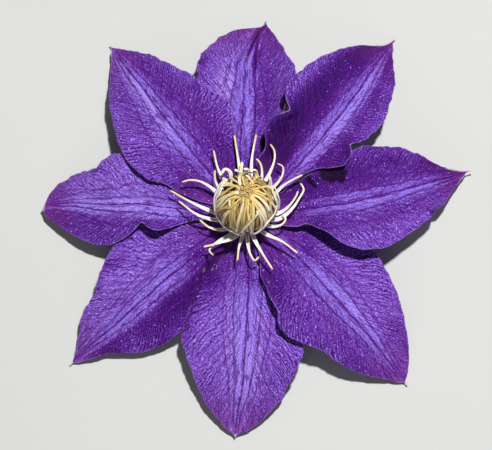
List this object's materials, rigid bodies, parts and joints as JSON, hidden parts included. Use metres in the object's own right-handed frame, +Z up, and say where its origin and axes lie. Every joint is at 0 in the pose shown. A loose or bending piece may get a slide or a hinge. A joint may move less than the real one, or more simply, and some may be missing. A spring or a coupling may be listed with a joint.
{
  "type": "clematis flower",
  "caption": "Open clematis bloom with broad pointed tepals round a dome of pale strap-like stamens, cut just below the flower and lying face up on its drooping tips.",
  "frame": {"origin": "middle of the bloom's outline on the surface that it lies on", "axes": "+Z up along the flower's own axis, -Y towards a viewer who sees the flower the right way up, +X to the viewer's right"},
  "size_m": [0.151, 0.1572, 0.0354],
  "materials": {
    "tepals": "velvety blue-violet, paler along the midrib, with magenta ribs and fine side veins",
    "stamens": "soft cream straps, greyer at the base, yellower at the tip",
    "pistils": "silky golden amber strands",
    "stem": "smooth dull green, paler at the cut"
  },
  "bodies": {
    "root": {"stem": "stem", "pistil_head": "pistils", "tepal_1": "tepals", "tepal_2": "tepals", "tepal_3": "tepals", "tepal_4": "tepals", "tepal_5": "tepals", "tepal_6": "tepals", "tepal_7": "tepals", "tepal_8": "tepals", "spreading_stamen_01": "stamens", "spreading_stamen_02": "stamens", "spreading_stamen_03": "stamens", "spreading_stamen_04": "stamens", "spreading_stamen_05": "stamens", "spreading_stamen_06": "stamens", "spreading_stamen_07": "stamens", "spreading_stamen_08": "stamens", "spreading_stamen_09": "stamens", "spreading_stamen_10": "stamens", "spreading_stamen_11": "stamens", "spreading_stamen_12": "stamens", "spreading_stamen_13": "stamens", "spreading_stamen_14": "stamens", "spreading_stamen_15": "stamens", "spreading_stamen_16": "stamens", "spreading_stamen_17": "stamens", "spreading_stamen_18": "stamens", "spreading_stamen_19": "stamens", "spreading_stamen_20": "stamens", "spreading_stamen_21": "stamens", "spreading_stamen_22": "stamens", "spreading_stamen_23": "stamens", "spreading_stamen_24": "stamens", "spreading_stamen_25": "stamens", "spreading_stamen_26": "stamens", "spreading_stamen_27": "stamens", "dome_stamen_01": "stamens", "dome_stamen_02": "stamens", "dome_stamen_03": "stamens", "dome_stamen_04": "stamens", "dome_stamen_05": "stamens", "dome_stamen_06": "stamens", "dome_stamen_07": "stamens", "dome_stamen_08": "stamens", "dome_stamen_09": "stamens", "dome_stamen_10": "stamens", "dome_stamen_11": "stamens", "dome_stamen_12": "stamens", "dome_stamen_13": "stamens", "dome_stamen_14": "stamens", "dome_stamen_15": "stamens", "dome_stamen_16": "stamens", "dome_stamen_17": "stamens", "dome_stamen_18": "stamens", "dome_stamen_19": "stamens", "dome_stamen_20": "stamens", "dome_stamen_21": "stamens", "dome_stamen_22": "stamens", "dome_stamen_23": "stamens"}
  },
  "joints": []
}
